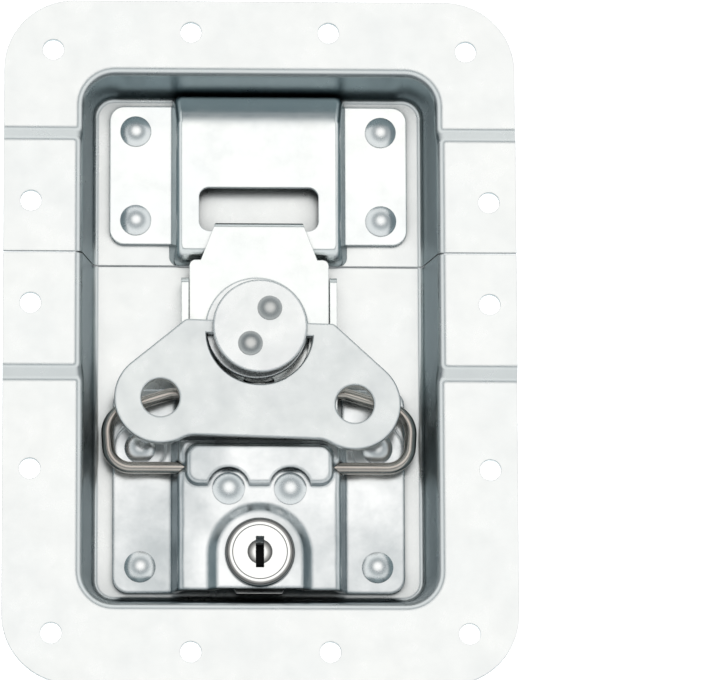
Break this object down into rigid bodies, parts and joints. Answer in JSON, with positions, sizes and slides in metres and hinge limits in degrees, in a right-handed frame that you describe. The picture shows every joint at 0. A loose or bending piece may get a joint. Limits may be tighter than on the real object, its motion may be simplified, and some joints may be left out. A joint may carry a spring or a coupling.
{
  "type": "butterfly case latch",
  "caption": "Recessed case latch: two-part pressed dish with screw flange, keeper plate, hook plate drawn by a cam under a folding butterfly wing, spring wire and key lock.",
  "frame": {"origin": "the back plane of the flange, at the middle of the plate", "axes": "+Z is the outward normal of the case face, +Y points along the plate to the lid, +X to the right seen from the front"},
  "size_m": [0.127, 0.172, 0.0195],
  "materials": {
    "zinc_pressing": "bright zinc plate, satin",
    "polished_rivet": "zinc plate, polished",
    "brushed_rivet": "brushed steel",
    "spring_wire": "bright drawn spring wire",
    "lock_nickel": "nickel plate",
    "bright_zinc": "bright zinc plate",
    "wing_zinc": "bright zinc plate, satin",
    "disc_zinc": "bright zinc plate",
    "mechanism_zinc": "bright zinc plate"
  },
  "bodies": {
    "root": {"base_dish": "zinc_pressing", "carriage": "mechanism_zinc", "cover_rivet_1": "polished_rivet", "cover_rivet_2": "polished_rivet", "cover_rivet_3": "polished_rivet", "cover_rivet_4": "polished_rivet", "guide_rivet_1": "polished_rivet", "guide_rivet_2": "polished_rivet", "keeper_plate": "bright_zinc", "keeper_rivet_1": "polished_rivet", "keeper_rivet_2": "polished_rivet", "keeper_rivet_3": "polished_rivet", "keeper_rivet_4": "polished_rivet", "lid_dish": "zinc_pressing", "lock_body": "lock_nickel", "lock_cover": "bright_zinc", "lock_nut": "lock_nickel", "pivot_stud": "brushed_rivet", "spring_wire": "spring_wire"},
    "cam": {"cam_base_disc": "mechanism_zinc", "cam_eccentric": "mechanism_zinc", "disc_rivet_1": "brushed_rivet", "disc_rivet_2": "brushed_rivet", "retaining_ring": "disc_zinc", "top_disc": "disc_zinc"},
    "wing": {"butterfly_wing": "wing_zinc"},
    "hook": {"hook_plate": "mechanism_zinc"},
    "lock_plug": {"lock_plug": "lock_nickel", "lock_crank": "mechanism_zinc"},
    "bolt": {"lock_bolt": "mechanism_zinc"}
  },
  "joints": [
    {"name": "cam_turn", "type": "hinge", "parent": "root", "child": "cam", "pos_m": [0, 0.0035, -0.0135], "axis": [0, 0, 1], "range_deg": [0, 180]},
    {"name": "wing_lift", "type": "hinge", "parent": "cam", "child": "wing", "pos_m": [0, 0.0035, -0.00203], "axis": [-0.9995, 0.0305, 0], "range_deg": [0, 90]},
    {"name": "hook_slide", "type": "slide", "parent": "root", "child": "hook", "axis": [0, 1, 0], "range_m": [0, 0.005]},
    {"name": "plug_turn", "type": "hinge", "parent": "root", "child": "lock_plug", "pos_m": [0, -0.0524, -0.0135], "axis": [0, 0, 1], "range_deg": [0, 90]},
    {"name": "bolt_slide", "type": "slide", "parent": "root", "child": "bolt", "axis": [0, 1, 0], "range_m": [0, 0.004]}
  ],
  "couplings": [
    {"joint": "hook_slide", "follows": "cam_turn", "m_per_rad": 0.0015915},
    {"joint": "plug_turn", "follows": "bolt_slide", "rad_per_m": 392.7}
  ]
}
